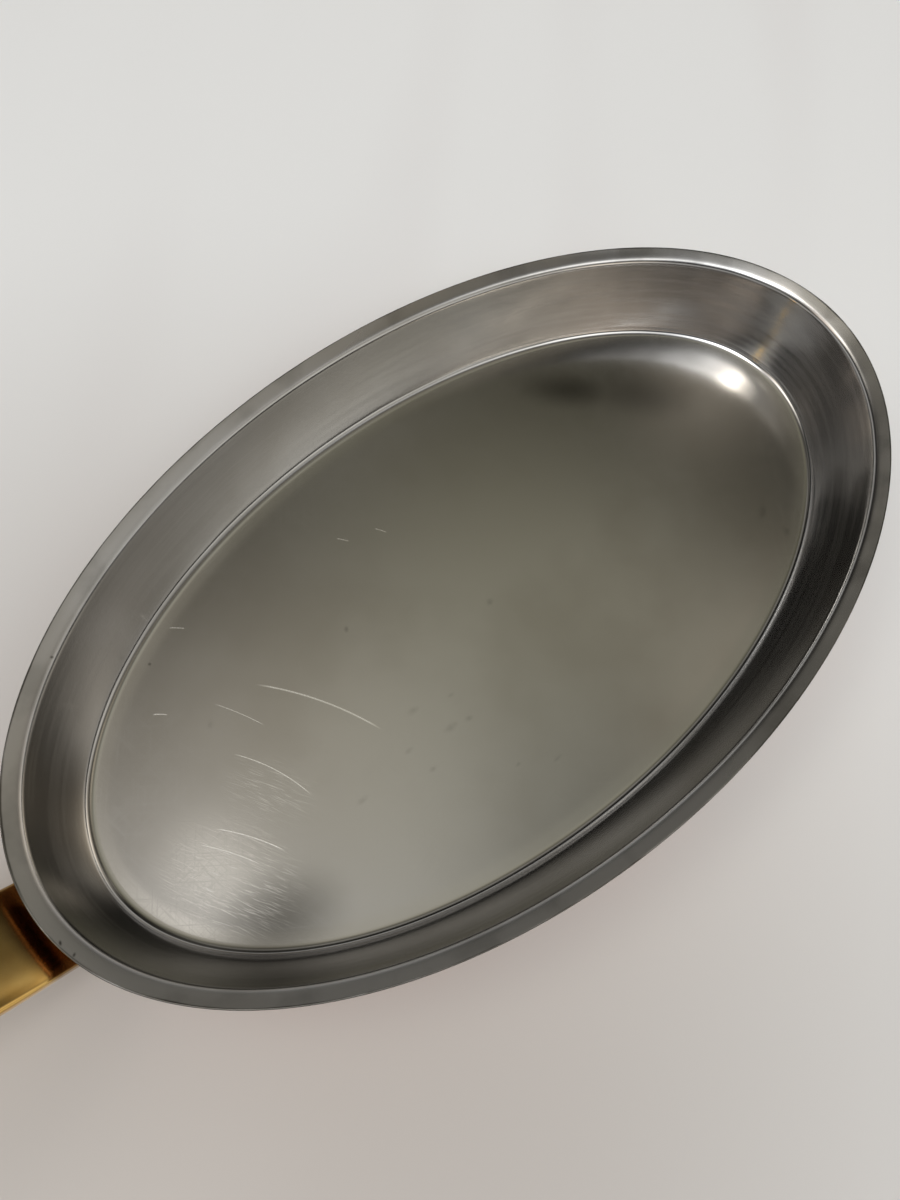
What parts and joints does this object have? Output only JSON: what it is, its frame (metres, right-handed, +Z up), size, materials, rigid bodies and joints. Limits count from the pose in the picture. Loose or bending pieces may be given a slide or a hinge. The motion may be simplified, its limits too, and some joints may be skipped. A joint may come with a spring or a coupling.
{
  "type": "oval pan",
  "caption": "Shallow oval copper pan with a steel lining, sloping wall, flared pouring lip and a long rising cast brass handle with a hanging hole.",
  "frame": {"origin": "middle of the flat underside, on the surface that the pan stands on", "axes": "+Z up, X along the oval's long axis with the handle pointing along -X, +Y to the left seen from the handle"},
  "size_m": [0.5701, 0.218, 0.0966],
  "materials": {
    "lining_steel": "satin stainless steel with fine use scratches",
    "shell_copper": "polished copper",
    "handle_brass": "mirror-polished cast brass",
    "stud_steel": "plain stainless steel",
    "nut_brass": "polished brass"
  },
  "bodies": {
    "root": {"steel_lining": "lining_steel", "copper_shell": "shell_copper", "brass_handle": "handle_brass", "left_weld_stud": "stud_steel", "left_washer": "stud_steel", "left_cap_nut": "nut_brass", "right_weld_stud": "stud_steel", "right_washer": "stud_steel", "right_cap_nut": "nut_brass"}
  },
  "joints": []
}
